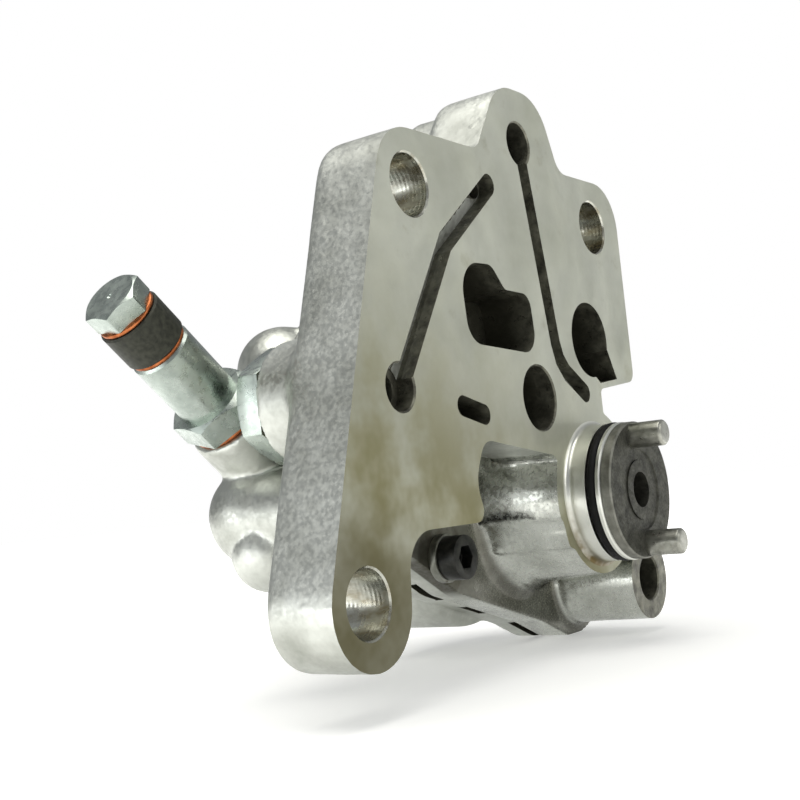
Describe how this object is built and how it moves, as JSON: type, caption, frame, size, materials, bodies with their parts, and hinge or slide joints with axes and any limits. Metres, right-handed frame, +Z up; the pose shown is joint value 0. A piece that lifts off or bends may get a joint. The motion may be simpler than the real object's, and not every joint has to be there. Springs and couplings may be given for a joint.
{
  "type": "gear-type engine fuel feed pump",
  "caption": "Engine-driven gear pump: cast flange with oil grooves and ports, spigot with ring seal, pin coupling, relief valve plug and angled outlet nipple.",
  "frame": {"origin": "centre of the locating spigot, in the plane of the mounting face", "axes": "-Y leaves the mounting face towards the engine, +Z is up, +X is to the right seen from the engine"},
  "size_m": [0.1506, 0.0815, 0.131],
  "materials": {
    "cast_alloy": "as cast, machined faces",
    "zinc_steel": "zinc plated",
    "bright_steel": "ground",
    "sintered_steel": "sintered, oiled",
    "black_steel": "black oxide",
    "bronze": "sintered bronze",
    "copper": "annealed copper",
    "rubber": "moulded",
    "dark_sleeve": "dark coating"
  },
  "bodies": {
    "housing": {"front_housing": "cast_alloy", "rear_housing": "cast_alloy", "housing_seal": "rubber", "dowel_pins": "bright_steel", "housing_screws": "black_steel", "pocket_screw": "black_steel", "pocket_washer": "zinc_steel", "spigot_ring": "rubber", "outer_shaft_seal": "rubber", "inner_shaft_seal": "rubber", "seal_circlip": "black_steel", "front_shaft_bush": "bronze", "rear_shaft_bush": "bronze", "idler_shaft": "bright_steel", "relief_spring": "bright_steel", "relief_plug": "zinc_steel", "relief_plug_washer": "copper", "outlet_nipple": "zinc_steel", "nipple_washer": "copper", "check_spring": "bright_steel", "banjo_bolt": "zinc_steel", "banjo_sleeve": "dark_sleeve", "banjo_washers": "copper", "gallery_plug": "black_steel"},
    "drive_rotor": {"drive_shaft": "sintered_steel", "drive_key": "bright_steel", "drive_gear": "bright_steel", "coupling_disc": "sintered_steel", "drive_pins": "bright_steel"},
    "driven_rotor": {"driven_gear": "bright_steel", "idler_bush": "bronze"},
    "relief_valve": {"relief_piston": "bright_steel"},
    "check_valve": {"check_ball": "bright_steel"}
  },
  "joints": [
    {"name": "drive_spin", "type": "hinge", "parent": "housing", "child": "drive_rotor", "pos_m": [0, 0, 0], "axis": [0, 1, 0], "continuous": true},
    {"name": "driven_spin", "type": "hinge", "parent": "housing", "child": "driven_rotor", "pos_m": [-0.02366, 0.03, 0.02301], "axis": [0, 1, 0], "continuous": true},
    {"name": "relief_lift", "type": "slide", "parent": "housing", "child": "relief_valve", "axis": [0, 1, 0], "range_m": [0, 0.003], "stiffness_N_per_m": 2500, "springref_m": -0.006, "deforming": ["relief_spring"]},
    {"name": "check_lift", "type": "slide", "parent": "housing", "child": "check_valve", "axis": [-0.7771, 0, 0.6293], "range_m": [0, 0.002], "stiffness_N_per_m": 300, "springref_m": -0.003, "deforming": ["check_spring"]}
  ],
  "couplings": [
    {"joint": "driven_spin", "follows": "drive_spin", "ratio": -1}
  ]
}
